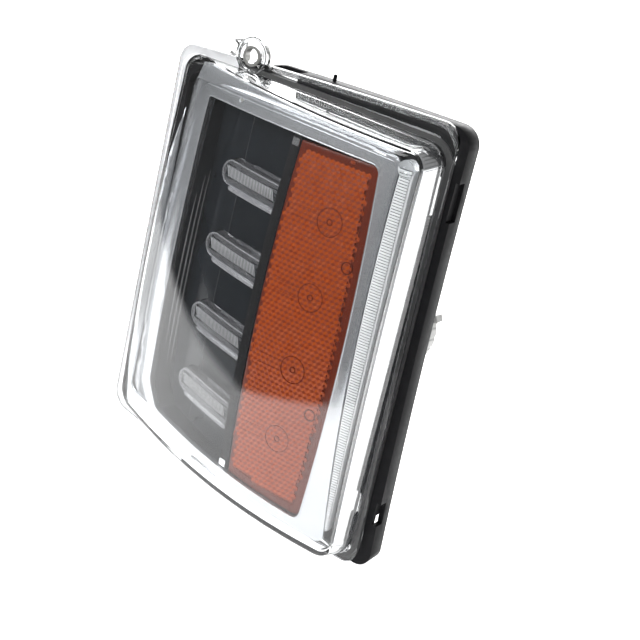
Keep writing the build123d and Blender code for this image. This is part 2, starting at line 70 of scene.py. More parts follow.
# Driving dimensions of the lamp, in millimetres.
SWEEP_R, CROWN_R, APEX_X, APEX_Z = 302.0, 1180.0, 26.7, -5.0
SEAT, FLANGE_T, LENS_T = 21.0, 3.0, 2.4
FRAME_D, AMBER_D, AMBER_T = 6.0, 8.0, 2.6
PANEL_D, GUIDE_D, STRIP_D, STRIP_T = 17.0, 11.5, 4.2, 8.0
BAR_COUNT, BAR_PITCH, BAR_TOP_Z, BAR_H = 4, 35.2, 52.3, 12.5
BAR_LEFT, BAR_RIGHT, BAR_TILT, BAR_TILT_STEP = -46.0, -9.0, 2.0, 2.0
LAMP_X, LAMP_R = 22.0, 6.3
CELL = 2.62                              # pitch of the reflex cells
RIB = 1.25                               # pitch of the fine ribs
EAR_X, EAR_Z, EAR_R, EAR_HOLE_R = -43.0, 105.9, 8.48, 4.6
OUTER_ROUND, INNER_ROUND = 1.6, 1.0      # round of the lens's front edge, outside and inside
WALL_BACK = SEAT + 1                     # depth at which the lens wall has its base outline
TRIM_TOP_Z = 80.0                        # top end of the panel's flutes and of its crease
PIN_X, PIN_DEPTH, RIM_TOP_Z = -4.7, 31.0, 106.4
MARK_X, MARK_DEPTH, MARK_Z, MARK_R = 73.8, 30.5, -88.7, 1.9

# Points that ring() puts on every side and on every corner.
PER_SIDE, PER_CORNER = 40, 9

# The table, in metres: its lit part ends at this Y, and at the left on a slant; how bright it is.
TABLE_EDGE_Y, TABLE_SLANT, TABLE_CORNER, TABLE_GLOW = -0.135, 0.72, -0.199, 1.15
TABLE_FADE = 0.02                        # width of the change from lit to dark
CAMERA_TURN = 28.2                       # degrees the camera stands round to the lamp's right

# Outlines seen from in front: corner points, outward bow of the side after each one, corner radii.
LENS_FRONT = ([(-77, 95), (57.5, 94), (61.8, -96), (-77, -77)], [0.8, 1.6, 4.0, 0], [8, 9, 7, 9])
LENS_BASE = ([(-79.5, 98.5), (62.5, 98.5), (66.6, -100), (-79.5, -81)], [0.8, 0, 4.0, 0], [9, 10, 8, 10])
FLANGE = ([(-81.8, 101.6), (65, 108.2), (69.8, -102.4), (-81.8, -83.4)], [0.8, -1.6, 4.0, 0], [8, 9, 7, 10])
FRAME = ([(-73.6, 88.6), (47.0, 89.8), (56.6, -92.5), (-73.4, -72.5)], [1.4, -2.2, 4.0, 0], [6, 3, 4, 7])
OPENING = ([(-61.2, 82.0), (38.6, 83.2), (41.8, -86.4), (-52.8, -74.4), (-61.3, -61.1)],
           [0.6, 4.3, 1.4, 0.5, 0], [1.5, 4, 4, 3, 3])
AMBER = ([(-2.4, 81.2), (38.1, 82.5), (41.3, -85.7), (-1.0, -82.0)], [0.1, 4.2, 0.5, 1.8], [0.6, 4, 4, 0.6])
STRIP = ([(48.4, 88.5), (54.8, 88.5), (58.6, -86), (57.0, -86)], [0, 1.2, 0, 2.0], [2.5, 3.0, 0.5, 0.5])


# ---------------------------------------------------------------- outlines and the curved front

def front(x, z, back=0.0):
    """Depth of the curved front, moved back by a depth."""
    rho = math.sqrt((CROWN_R - back) ** 2 - (z - APEX_Z) ** 2) - (CROWN_R - SWEEP_R)
    return SWEEP_R - math.sqrt(rho ** 2 - (x - APEX_X) ** 2)


def at(x, depth, z):
    """A point of the frame from millimetres and a depth."""
    return Vector((x * MM, FRONT_Y + depth * MM, z * MM))


def on(x, z, back):
    """A point on the curved front, moved back by a depth."""
    return at(x, front(x, z, back), z)


def moved_out(corners, margin):
    """The corner points after every side has moved out by a margin."""
    points = [Vector(c) for c in corners]
    moved = []
    for i, point in enumerate(points):
        runs = [(point - points[i - 1]).normalized(), (points[(i + 1) % len(points)] - point).normalized()]
        before, after = [Vector((-run.y, run.x)) for run in runs]
        moved.append(point + (before + after) * (margin / (1 + before.dot(after))))
    return moved


def side_point(points, bows, i, t):
    """A point on a side and the direction of the side there."""
    a, b = points[i], points[(i + 1) % len(points)]
    run = b - a
    out = Vector((-run.y, run.x)).normalized()
    place = a + run * t + out * (bows[i] * 4 * t * (1 - t))
    direction = (run + out * (bows[i] * 4 * (1 - 2 * t))).normalized()
    return place, direction


def ring(shape, grow=0.0, per_side=PER_SIDE, per_corner=PER_CORNER):
    """Points round an outline, grown by a margin: the same number on every side and every corner."""
    corners, bows, radii = shape
    points = moved_out(corners, grow)
    count = len(points)
    lengths = [(points[(i + 1) % count] - points[i]).length for i in range(count)]
    setbacks, turns, rounds = [], [], []
    for i in range(count):
        tangent_in = side_point(points, bows, i - 1 if i else count - 1, 1.0)[1]
        tangent_out = side_point(points, bows, i, 0.0)[1]
        turn = tangent_in.angle(tangent_out)
        radius = max(radii[i] + grow, 0.3)
        rounds.append(radius)
        turns.append(turn)
        setbacks.append(radius * math.tan(turn / 2))
    found = []
    for i in range(count):
        start = setbacks[i] / lengths[i]
        end = 1 - setbacks[(i + 1) % count] / lengths[i]
        for k in range(per_side):
            found.append(side_point(points, bows, i, start + (end - start) * k / per_side)[0])
        j = (i + 1) % count
        p1, t1 = side_point(points, bows, i, end)
        p2, t2 = side_point(points, bows, j, setbacks[j] / lengths[j])
        reach = 4 / 3 * math.tan(turns[j] / 4) * rounds[j]
        h1, h2 = p1 + t1 * reach, p2 - t2 * reach
        for k in range(per_corner):
            s = k / per_corner
            r = 1 - s
            found.append(p1 * r ** 3 + h1 * (3 * r * r * s) + h2 * (3 * r * s * s) + p2 * s ** 3)
    return found


def inside(point, polygon):
    """True if a point lies inside a closed polygon."""
    hit = False
    for i, b in enumerate(polygon):
        a = polygon[i - 1]
        if (a.y > point.y) != (b.y > point.y):
            if point.x < a.x + (b.x - a.x) * (point.y - a.y) / (b.y - a.y):
                hit = not hit
    return hit


def middle(points):
    """The mean of some points."""
    return sum(points, Vector((0, 0))) / len(points)


def shrunk(points, share):
    """A ring drawn in towards its middle."""
    centre = middle(points)
    return [centre + (p - centre) * share for p in points]


# ---------------------------------------------------------------- meshes

def piece(name, verts, faces, material, body="lamp", smooth=35.0, modifiers=()):
    """A mesh object of the lamp that rides on a body, with its normals facing out."""
    mesh = bpy.data.meshes.new(name)
    mesh.from_pydata([tuple(v) for v in verts], [], faces)
    work = bmesh.new()
    work.from_mesh(mesh)
    bmesh.ops.recalc_face_normals(work, faces=work.faces)
    work.to_mesh(mesh)
    work.free()
    mesh.materials.append(material)
    mesh.shade_smooth()
    mesh.set_sharp_from_angle(angle=math.radians(smooth))
    made = bpy.data.objects.new(name, mesh)
    bpy.context.scene.collection.objects.link(made)
    for kind, values in modifiers:
        added = made.modifiers.new(kind.lower(), kind)
        for key, value in values.items():
            setattr(added, key, value)
    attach(made, body)
    return made


class Build:
    """Vertices and faces of one mesh, put together from rings, tubes and blocks."""

    def __init__(self):
        self.verts, self.faces = [], []

    def rows(self, rings, cap_first=False, cap_last=False, loop=False):
        """Joins rings of the same number of points, and closes the ends with fans."""
        count = len(rings[0])
        base = len(self.verts)
        for r in rings:
            self.verts.extend(r)
        pairs = [(i, i + 1) for i in range(len(rings) - 1)]
        if loop:
            pairs.append((len(rings) - 1, 0))
        for i, j in pairs:
            for k in range(count):
                m = (k + 1) % count
                self.faces.append((base + i * count + k, base + i * count + m,
                                   base + j * count + m, base + j * count + k))
        for wanted, row in ((cap_first, 0), (cap_last, len(rings) - 1)):
            if wanted:
                self.fan(base + row * count, count, flip=row == 0)
        return self

    def fan(self, start, count, flip=False):
        """Closes a ring with triangles to its middle."""
        centre = sum(self.verts[start:start + count], Vector((0, 0, 0))) / count
        self.verts.append(centre)
        hub = len(self.verts) - 1
        for k in range(count):
            a, b = start + k, start + (k + 1) % count
            self.faces.append((b, a, hub) if flip else (a, b, hub))

    def tube(self, path, radius, closed=False, sides=8, flat=1.0):
        """A round bead along a path, with domed ends unless it is closed."""
        count = len(path)
        rings = []
        across = None
        for i in range(count):
            a = path[i - 1] if (i or closed) else path[i]
            b = path[(i + 1) % count] if (i + 1 < count or closed) else path[i]
            along = (b - a).normalized()
            if across is None:
                across = along.cross(Vector((0, 1, 0)))
                if across.length < 0.1:
                    across = along.cross(Vector((1, 0, 0)))
            across = (across - along * across.dot(along)).normalized()
            up = along.cross(across)
            rings.append([path[i] + across * (radius * MM * math.cos(2 * math.pi * k / sides))
                          + up * (radius * MM * flat * math.sin(2 * math.pi * k / sides))
                          for k in range(sides)])
        if closed:
            return self.rows(rings, loop=True)
        for end, step in ((0, 1), (-1, -1)):
            outward = (path[end] - path[end + step]).normalized()
            dome = [path[end] + outward * (radius * MM * 0.7) + (p - path[end]) * 0.6 for p in rings[end]]
            rings.insert(0, dome) if end == 0 else rings.append(dome)
        return self.rows(rings, cap_first=True, cap_last=True)


def circle(x, z, radius, depth, count=40, back=None):
    """A ring of points round a spot: at a depth, or on the curved front moved back."""
    points = []
    for k in range(count):
        a = 2 * math.pi * k / count
        px, pz = x + radius * math.cos(a), z + radius * math.sin(a)
        points.append(at(px, depth, pz) if back is None else on(px, pz, back))
    return points


# ---------------------------------------------------------------- materials

def tree(name):
    """A new material, its nodes and its output's surface input."""
    material = bpy.data.materials.new(name)
    material.use_nodes = True
    nt = material.node_tree
    nt.nodes.clear()
    out = nt.nodes.new("ShaderNodeOutputMaterial")
    return material, nt, out.inputs["Surface"]


def noise(nt, scale, detail=3.0, stretch=None):
    """Noise in object space, in cycles per metre, and stretched along the axes if asked."""
    place = nt.nodes.new("ShaderNodeTexCoord")
    found = nt.nodes.new("ShaderNodeTexNoise")
    found.inputs["Scale"].default_value = scale
    found.inputs["Detail"].default_value = detail
    source = place.outputs["Object"]
    if stretch:
        mapping = nt.nodes.new("ShaderNodeMapping")
        mapping.inputs["Scale"].default_value = stretch
        nt.links.new(source, mapping.inputs["Vector"])
        source = mapping.outputs["Vector"]
    nt.links.new(source, found.inputs["Vector"])
    return found.outputs["Fac"]


def spread(nt, source, low, high):
    """A number that varies between two values with a noise."""
    found = nt.nodes.new("ShaderNodeMapRange")
    found.inputs["From Min"].default_value = 0.3
    found.inputs["From Max"].default_value = 0.7
    found.inputs["To Min"].default_value = low
    found.inputs["To Max"].default_value = high
    nt.links.new(source, found.inputs["Value"])
    return found.outputs["Result"]


def tint(nt, source, dark, light):
    """A colour that varies between two with a noise."""
    found = nt.nodes.new("ShaderNodeMix")
    found.data_type = "RGBA"
    found.inputs[6].default_value = (*dark, 1)
    found.inputs[7].default_value = (*light, 1)
    nt.links.new(source, found.inputs[0])
    return found.outputs[2]


def solid(name, dark, light, rough, metallic=0.0, scale=300.0, bump=0.0, bump_scale=4000.0, stretch=None,
          specular=0.5, coat=0.0, ior=1.5):
    """An opaque finish: a colour and roughness that vary a little, and a fine grain."""
    material, nt, surface = tree(name)
    shader = nt.nodes.new("ShaderNodeBsdfPrincipled")
    mottle = noise(nt, scale, stretch=stretch)
    nt.links.new(tint(nt, mottle, dark, light), shader.inputs["Base Color"])
    nt.links.new(spread(nt, noise(nt, scale * 2.3, stretch=stretch), *rough), shader.inputs["Roughness"])
    shader.inputs["Metallic"].default_value = metallic
    shader.inputs["Specular IOR Level"].default_value = specular
    shader.inputs["Coat Weight"].default_value = coat
    shader.inputs["IOR"].default_value = ior
    if bump:
        grain = nt.nodes.new("ShaderNodeBump")
        grain.inputs["Strength"].default_value = bump
        grain.inputs["Distance"].default_value = 0.0001
        nt.links.new(noise(nt, bump_scale, 2.0, stretch), grain.inputs["Height"])
        nt.links.new(grain.outputs["Normal"], shader.inputs["Normal"])
    nt.links.new(shader.outputs["BSDF"], surface)
    return material


def clear(name, colour, rough, frost=0.0, ior=1.49, flow=None):
    """Clear moulded plastic: light from lamps passes straight through, and it has faint flow marks."""
    material, nt, surface = tree(name)
    shader = nt.nodes.new("ShaderNodeBsdfPrincipled")
    shader.inputs["IOR"].default_value = ior
    shader.inputs["Transmission Weight"].default_value = 1.0 - frost
    mottle = noise(nt, 60.0, 2.0, flow)
    nt.links.new(tint(nt, mottle, tuple(c * 0.985 for c in colour), colour), shader.inputs["Base Color"])
    nt.links.new(spread(nt, noise(nt, 140.0, 2.0), *rough), shader.inputs["Roughness"])
    through = nt.nodes.new("ShaderNodeBsdfTransparent")
    through.inputs["Color"].default_value = (*colour, 1)
    path = nt.nodes.new("ShaderNodeLightPath")
    mix = nt.nodes.new("ShaderNodeMixShader")
    nt.links.new(path.outputs["Is Shadow Ray"], mix.inputs["Fac"])
    nt.links.new(shader.outputs["BSDF"], mix.inputs[1])
    nt.links.new(through.outputs["BSDF"], mix.inputs[2])
    nt.links.new(mix.outputs["Shader"], surface)
    return material


looks = {
    "clear_lens": clear("clear_lens", (0.97, 0.98, 0.985), (0.0, 0.015)),
    "clear_guide": clear("clear_guide", (0.42, 0.42, 0.44), (0.06, 0.12), frost=0.18),
    "bar_edge": clear("bar_edge", (0.72, 0.72, 0.74), (0.03, 0.08), frost=0.25),
    "strip_guide": clear("strip_guide", (0.95, 0.955, 0.96), (0.06, 0.12), frost=0.75),
    "amber_window": solid("amber_window", (0.27, 0.036, 0.002), (0.33, 0.047, 0.002), (0.25, 0.35), scale=90.0,
                          specular=0.2),
    # Lighter and darker copies of the amber: painted light and painted shade on two of the three faces of
    # every reflex cell.
    "amber_painted_lit": solid("amber_painted_lit", (0.36, 0.056, 0.003), (0.42, 0.068, 0.003), (0.2, 0.3), scale=90.0,
                         specular=0.3),
    "amber_painted_shade": solid("amber_painted_shade", (0.19, 0.023, 0.001), (0.23, 0.029, 0.002), (0.25, 0.35), scale=90.0,
                         specular=0.2),
    # Near-white, metallic: painted glare for the land under the lens flange.
    "painted_glare_land": solid("painted_glare_land", (0.90, 0.90, 0.91), (0.96, 0.96, 0.97), (0.3, 0.4), metallic=0.6,
                          scale=200.0),
    "hatch_light": solid("hatch_light", (0.42, 0.42, 0.43), (0.55, 0.55, 0.56), (0.15, 0.25), scale=800.0),
    "amber_dark": solid("amber_dark", (0.105, 0.014, 0.004), (0.135, 0.019, 0.005), (0.12, 0.2), scale=120.0,
                        specular=0.25),
    "black_housing": solid("black_housing", (0.010, 0.010, 0.011), (0.018, 0.018, 0.019), (0.32, 0.46),
                           bump=0.25, bump_scale=2600.0, specular=0.25, ior=1.18),
    # Also serves as the painted shade round and under the light bars.
    "black_gloss": solid("black_gloss", (0.008, 0.010, 0.013), (0.012, 0.015, 0.019), (0.05, 0.09), scale=40.0,
                         specular=0.25),
    # Also serves as the painted shade in the grooves of the lens wall's ribs.
    "black_trim": solid("black_trim", (0.010, 0.010, 0.011), (0.016, 0.016, 0.017), (0.25, 0.4),
                        bump=0.15, bump_scale=3000.0, specular=0.25, ior=1.2),
    "silver_frame": solid("silver_frame", (0.60, 0.61, 0.63), (0.66, 0.67, 0.69), (0.18, 0.26), metallic=0.85,
                          scale=500.0, bump=0.03, bump_scale=9000.0),
    # Also serves as the painted highlight on the panel's crease and the painted shade in the side strip's
    # grooves.
    "flute_grey": solid("flute_grey", (0.16, 0.165, 0.17), (0.24, 0.245, 0.25), (0.12, 0.2), metallic=0.7,
                        scale=60.0, stretch=(1, 1, 0.2)),
    "bright_clip": solid("bright_clip", (0.78, 0.78, 0.79), (0.86, 0.86, 0.87), (0.06, 0.12), metallic=1.0),
    "circuit_board": solid("circuit_board", (0.010, 0.085, 0.035), (0.02, 0.15, 0.06), (0.3, 0.45),
                           scale=900.0),
    "lamp_chip": solid("lamp_chip", (0.75, 0.62, 0.22), (0.85, 0.74, 0.33), (0.4, 0.5), scale=1500.0),
    "chip_black": solid("chip_black", (0.018, 0.018, 0.018), (0.03, 0.03, 0.03), (0.5, 0.6), scale=1500.0),
    "heat_sink": solid("heat_sink", (0.58, 0.59, 0.60), (0.70, 0.71, 0.72), (0.3, 0.45), metallic=1.0,
                       scale=700.0, stretch=(1, 1, 0.05)),
    "zinc_steel": solid("zinc_steel", (0.52, 0.52, 0.50), (0.66, 0.66, 0.64), (0.25, 0.4), metallic=1.0,
                        scale=900.0, bump=0.05),
    "bright_bowl": solid("bright_bowl", (0.84, 0.84, 0.84), (0.90, 0.90, 0.90), (0.04, 0.1), metallic=1.0),
    "bulb_glass": clear("bulb_glass", (0.98, 0.98, 0.98), (0.0, 0.01), ior=1.2),
    "bulb_metal": solid("bulb_metal", (0.52, 0.52, 0.50), (0.62, 0.62, 0.60), (0.25, 0.35), metallic=1.0,
                        scale=800.0),
    "grey_holder": solid("grey_holder", (0.46, 0.46, 0.45), (0.54, 0.54, 0.53), (0.4, 0.55), scale=400.0,
                         bump=0.15, bump_scale=3000.0),
    "seal_rubber": solid("seal_rubber", (0.014, 0.014, 0.014), (0.022, 0.022, 0.022), (0.6, 0.75), bump=0.2),
    "sealant": solid("sealant", (0.03, 0.03, 0.03), (0.05, 0.05, 0.05), (0.5, 0.65), bump=0.3,
                     bump_scale=900.0),
    "tinned_brass": solid("tinned_brass", (0.60, 0.54, 0.38), (0.70, 0.64, 0.48), (0.22, 0.35), metallic=1.0,
                          scale=900.0),
}


# Painted shade: a clear plastic's colour darkens from its front towards the back.
def painted_shade_behind(material, front_y, back_y, dark):
    """Lets a clear plastic get darker with depth."""
    nt = material.node_tree
    place = nt.nodes.new("ShaderNodeTexCoord")
    split = nt.nodes.new("ShaderNodeSeparateXYZ")
    nt.links.new(place.outputs["Object"], split.inputs["Vector"])
    depth = nt.nodes.new("ShaderNodeMapRange")
    depth.inputs["From Min"].default_value = front_y
    depth.inputs["From Max"].default_value = back_y
    nt.links.new(split.outputs["Y"], depth.inputs["Value"])
    shader = next(n for n in nt.nodes if n.type == "BSDF_PRINCIPLED")
    nt.links.new(tint(nt, depth.outputs["Result"], (0.30, 0.30, 0.31), dark), shader.inputs["Base Color"])
    return material


# Ribs inside the lens wall, with painted shade darkening them towards the back of the wall.
looks["rib_clear"] = painted_shade_behind(clear("rib_clear", (0.9, 0.9, 0.91), (0.06, 0.12), frost=0.3),
                                   FRONT_Y + 0.004, FRONT_Y + 0.020, (0.02, 0.02, 0.022))


def dress_frame():
    """Gives every node of the frame its finish, and the hard-edged ones small round edges."""
    slots = {row["node"]: row["material_slot"] for row in frame["record"]["subparts"]}
    rounded = {"housing": 0.5, "frame_bezel": 0.25, "inner_carrier": 0.2, "bulb_holder": 0.3,
               "connector_socket": 0.4, "vent_cap": 0.3, "mount_stud_upper": 0.3, "mount_stud_lower": 0.3,
               "connector_pins": 0.15, "holder_terminals": 0.12}
    for name, node in nodes.items():
        for place in node.material_slots:
            place.material = looks[slots[name]]
        if name in rounded:
            weld = node.modifiers.new("weld", "WELD")
            weld.merge_threshold = 0.000002
            bevel = node.modifiers.new("bevel", "BEVEL")
            bevel.width = rounded[name] * MM
            bevel.segments = 2
            bevel.limit_method = "ANGLE"
            bevel.angle_limit = math.radians(40)
            bevel.harden_normals = True


# ---------------------------------------------------------------- the clear lens

def lens_rows(grow, edge_round):
    """Rings of the lens wall and front, from the middle of the front back to the flange's plane."""
    edge_in = ring(LENS_FRONT, grow - edge_round)
    face = ring(LENS_FRONT, grow)
    base = ring(LENS_BASE, grow)
    back = -grow
    rows = []
    for k in range(1, 15):
        rows.append([on(p.x, p.y, back) for p in shrunk(edge_in, k / 14)])
    inner = rows[-1]
    share = []
    for f, b in zip(face, base):
        s = 0.0
        for _ in range(8):
            p = f.lerp(b, s)
            s = max(front(p.x, p.y, back), 0.0) / WALL_BACK
        share.append(s)
    edge, wall = [], []
    for f, b, s in zip(face, base, share):
        p = f.lerp(b, s)
        edge.append(at(p.x, s * WALL_BACK, p.y))
        t = min(s + edge_round / WALL_BACK, 0.97)
        q = f.lerp(b, t)
        wall.append((q, t))
    wall_points = [at(q.x, t * WALL_BACK, q.y) for q, t in wall]
    for k in range(1, 6):
        s = k / 6
        rows.append([a * (1 - s) ** 2 + e * (2 * s * (1 - s)) + w * s ** 2
                     for a, e, w in zip(inner, edge, wall_points)])
    rows.append(wall_points)
    for k in range(1, 7):
        s = k / 6
        row = []
        for (q, t), f, b in zip(wall, face, base):
            u = t + (SEAT / WALL_BACK - t) * s
            p = f.lerp(b, u)
            row.append(at(p.x, u * WALL_BACK, p.y))
        rows.append(row)
    return rows


def flat_row(shape, grow, depth):
    """A grown outline at one depth."""
    return [at(p.x, depth, p.y) for p in ring(shape, grow)]


def make_lens():
    """The clear tub: round-edged front and walls outside, the same inside, and the flange."""
    back = SEAT + FLANGE_T
    outer = lens_rows(0.0, OUTER_ROUND)
    inner = lens_rows(-LENS_T, INNER_ROUND)
    rows = outer
    rows.append(flat_row(LENS_BASE, 0.5, SEAT + 0.001))
    rows.append(flat_row(FLANGE, -0.5, SEAT))
    rows.append(flat_row(FLANGE, -0.12, SEAT + 0.15))
    rows.append(flat_row(FLANGE, 0.0, SEAT + 0.6))
    rows.append(flat_row(FLANGE, 0.0, back - 0.6))
    rows.append(flat_row(FLANGE, -0.12, back - 0.15))
    rows.append(flat_row(FLANGE, -0.5, back))
    rows.append(flat_row(LENS_BASE, -LENS_T + 0.3, back))
    rows.append(flat_row(LENS_BASE, -LENS_T, back - 0.3))
    rows.extend(reversed(inner))
    lens = Build().rows(rows, cap_first=True, cap_last=True)
    made = piece("lens_tub", lens.verts, lens.faces, looks["clear_lens"], smooth=50)
    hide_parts("outer_lens")
    return made


def make_lens_ear():
    """The mounting ear above the flange, a round-headed tab with a hole, and the block beside it."""
    outer, hole = [], []
    low, turns = EAR_Z - 4, 48
    for k in range(turns):
        a = math.pi * (1 - k / (turns - 1))
        outer.append((EAR_X + EAR_R * math.cos(a), EAR_Z + EAR_R * math.sin(a)))
        hole.append((EAR_X + EAR_HOLE_R * math.cos(a), EAR_Z + EAR_HOLE_R * math.sin(a)))
    for k in range(turns):
        a = -math.pi * (k + 0.5) / turns
        x = EAR_X + EAR_R * math.cos(a)
        outer.append((x, max(low, EAR_Z + EAR_R * math.sin(a) * 1.6)))
        hole.append((EAR_X + EAR_HOLE_R * math.cos(a), EAR_Z + EAR_HOLE_R * math.sin(a)))
    back = SEAT + FLANGE_T
    rows = []
    for points, scale, depth in ((hole, 1.06, SEAT), (outer, 0.95, SEAT), (outer, 1.0, SEAT + 0.5),
                                 (outer, 1.0, back - 0.5), (outer, 0.95, back), (hole, 1.06, back),
                                 (hole, 1.0, back - 0.3), (hole, 1.0, SEAT + 0.3)):
        rows.append([at(EAR_X + (x - EAR_X) * scale, depth, EAR_Z + (z - EAR_Z) * scale) for x, z in points])
    ear = Build().rows(rows, loop=True)
    cup = [circle(EAR_X, EAR_Z, radius, SEAT - drop) for radius, drop in
           ((7.9, 0.02), (7.7, 0.9), (6.9, 1.3), (6.3, 0.9), (6.1, 0.02))]
    ear.rows(cup, loop=True)
    piece("lens_ear", ear.verts, ear.faces, looks["clear_lens"], smooth=40)
    block = Build()
    left, right, bottom, top = EAR_X - EAR_R - 4, EAR_X - EAR_R + 0.4, EAR_Z - 3, EAR_Z + 5
    corners = [(left, bottom), (right, bottom), (right, top - 1.5), (left + 1.5, top)]
    block.rows([[at(x, depth, z) for x, z in corners] for depth in (SEAT, SEAT + 9)],
               cap_first=True, cap_last=True)
    piece("lens_ear_block", block.verts, block.faces, looks["clear_lens"], smooth=40,
          modifiers=[("BEVEL", {"width": 0.0007, "segments": 3})])


def make_flange_painted_glare():
    """Near-white land under the flange, along its left side and the ends next to it.

    It keeps the black housing from showing through there, and is painted glare at the lens's edge, not a real
    piece.
    """
    lap = PER_SIDE + PER_CORNER
    start, end = 3 * lap - int(PER_SIDE * 0.55), 4 * lap + int(PER_SIDE * 0.2)
    outer, inner = ring(FLANGE, -0.25), ring(LENS_BASE, -0.8)
    count = len(outer)
    rows = []
    for k in range(start, end):
        a, b = outer[k % count], inner[k % count]
        ripple = 0.06 * math.sin(k * 1.9)
        rows.append([at(a.x, SEAT + 1.9, a.y), at(b.x, SEAT + 1.9 + ripple, b.y),
                     at(b.x, SEAT + FLANGE_T - 0.25, b.y), at(a.x, SEAT + FLANGE_T - 0.25, a.y)])
    land = Build().rows(rows, cap_first=True, cap_last=True)
    piece("lens_flange_painted_glare", land.verts, land.faces, looks["painted_glare_land"], smooth=40)


def wall_path(grow, first, last, step):
    """Points round the lens wall between two indices of its ring, evenly spaced."""
    face, base = ring(LENS_FRONT, grow), ring(LENS_BASE, grow)
    pairs = list(zip(face[first:last], base[first:last]))
    path, due, gone = [], 0.0, 0.0
    for (f0, b0), (f1, b1) in zip(pairs, pairs[1:]):
        length = (f1 - f0).length
        while due <= gone + length:
            t = (due - gone) / length
            path.append((f0.lerp(f1, t), b0.lerp(b1, t)))
            due += step
        gone += length
    return path


def make_lens_ribs():
    """Fine ribs inside the lens wall: along its top, down its right side and round both right corners."""
    first, last = 0, 2 * (PER_SIDE + PER_CORNER)
    samples = 6                          # points across one rib
    path = wall_path(-LENS_T - 0.05, first, last, RIB / samples)
    outer_rows, inner_rows = [], []
    steps = (0.0, 0.08, 0.5, 0.92, 1.0)
    for i, (f, b) in enumerate(path):
        before, after = path[max(i - 1, 0)], path[min(i + 1, len(path) - 1)]
        run = (after[0] - before[0]).normalized()
        inward = Vector((run.y, -run.x))
        height = 0.12 + 0.38 * abs(math.sin(math.pi * i / samples))
        start = max(front(f.x, f.y, LENS_T), 0.0) / WALL_BACK + 0.10
        outer, inner = [], []
        for s in steps:
            u = start + (0.985 - start) * s
            p = f.lerp(b, u)
            lift = height if 0 < s < 1 else 0.06
            outer.append(at(p.x, u * WALL_BACK, p.y))
            inner.append(at(p.x + inward.x * lift, u * WALL_BACK, p.y + inward.y * lift))
        outer_rows.append(outer)
        inner_rows.append(inner)
    # Dark beads in the troughs between the ribs: painted shade in the grooves.
    groove_shade = Build()
    for row in outer_rows[::samples]:
        groove_shade.tube([row[1], row[2], row[3]], 0.10, sides=5)
    piece("lens_wall_groove_shade", groove_shade.verts, groove_shade.faces, looks["black_trim"], smooth=60)
    ribs = Build()
    ribs.rows([o + list(reversed(i)) for o, i in zip(outer_rows, inner_rows)], cap_first=True, cap_last=True)
    piece("lens_wall_ribs", ribs.verts, ribs.faces, looks["rib_clear"], smooth=28)


# ---------------------------------------------------------------- amber window

def make_amber():
    """The amber window: a smooth round-edged border and a field of reflex cells."""
    back = AMBER_D + AMBER_T
    rows = [[on(p.x, p.y, AMBER_D + 0.32) for p in shrunk(ring(AMBER, -4.0), k / 5)] for k in range(1, 6)]
    for grow, depth in ((-3.8, AMBER_D + 0.05), (-3.5, AMBER_D), (-0.5, AMBER_D), (-0.12, AMBER_D + 0.12),
                        (0.0, AMBER_D + 0.5), (0.0, back)):
        rows.append([on(p.x, p.y, depth) for p in ring(AMBER, grow)])
    for k in range(5, 0, -1):
        rows.append([on(p.x, p.y, back) for p in shrunk(ring(AMBER, -0.3), k / 5)])
    sheet = Build().rows(rows, cap_first=True, cap_last=True)
    made = piece("amber_sheet", sheet.verts, sheet.faces, looks["amber_dark"], smooth=40)
    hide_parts("amber_lens")
    field, left_field = ring(AMBER, -4.2), ring(AMBER, -1.9)
    across, up = CELL, CELL * math.sqrt(3) / 2
    high, low, floor = AMBER_D - 0.20, AMBER_D - 0.02, AMBER_D + 0.45
    radius = CELL / math.sqrt(3)
    cells = Build()
    seen, tones = {}, []

    def corner(x, z, depth):
        key = (round(x, 3), round(z, 3), depth)
        if key not in seen:
            seen[key] = len(cells.verts)
            cells.verts.append(on(x, z, depth))
        return seen[key]

    for row in range(-54, 54):
        for column in range(-4, 22):
            x = column * across + (row % 2) * across / 2
            z = row * up
            spot = Vector((x, z))
            if not inside(spot, field) and not (x < 12 and abs(z + 1) < 77 and inside(spot, left_field)):
                continue
            rim = []
            for k in range(6):
                a = math.pi / 6 + k * math.pi / 3
                px, pz = x + radius * math.cos(a), z + radius * math.sin(a)
                rim.append(corner(px, pz, (low + high) / 2 if k % 2 else high))
            hub = corner(x, z, low)
            # Each cell's three faces take the amber, its lighter copy and its darker copy: painted light and
            # shade by the way each face is turned.
            for k in range(0, 6, 2):
                cells.faces.append((hub, rim[k - 1], rim[k], rim[(k + 1) % 6]))
                tones.append(k // 2)
    shell_edges = {}
    for face in cells.faces:
        for a, b in zip(face, face[1:] + face[:1]):
            shell_edges[(a, b)] = True
    border = [(a, b) for a, b in shell_edges if (b, a) not in shell_edges]
    under = {}
    top_count = len(cells.verts)
    for i in range(top_count):
        v = cells.verts[i]
        under[i] = len(cells.verts)
        cells.verts.append(on(v.x / MM, v.z / MM, floor))
    for face in list(cells.faces):
        cells.faces.append(tuple(under[i] for i in reversed(face)))
    for a, b in border:
        cells.faces.append((b, a, under[a], under[b]))
    made = piece("amber_cells", cells.verts, cells.faces, looks["amber_window"], smooth=5)
    made.data.materials.append(looks["amber_painted_lit"])
    made.data.materials.append(looks["amber_painted_shade"])
    for face, tone in zip(made.data.polygons, tones):
        face.material_index = tone


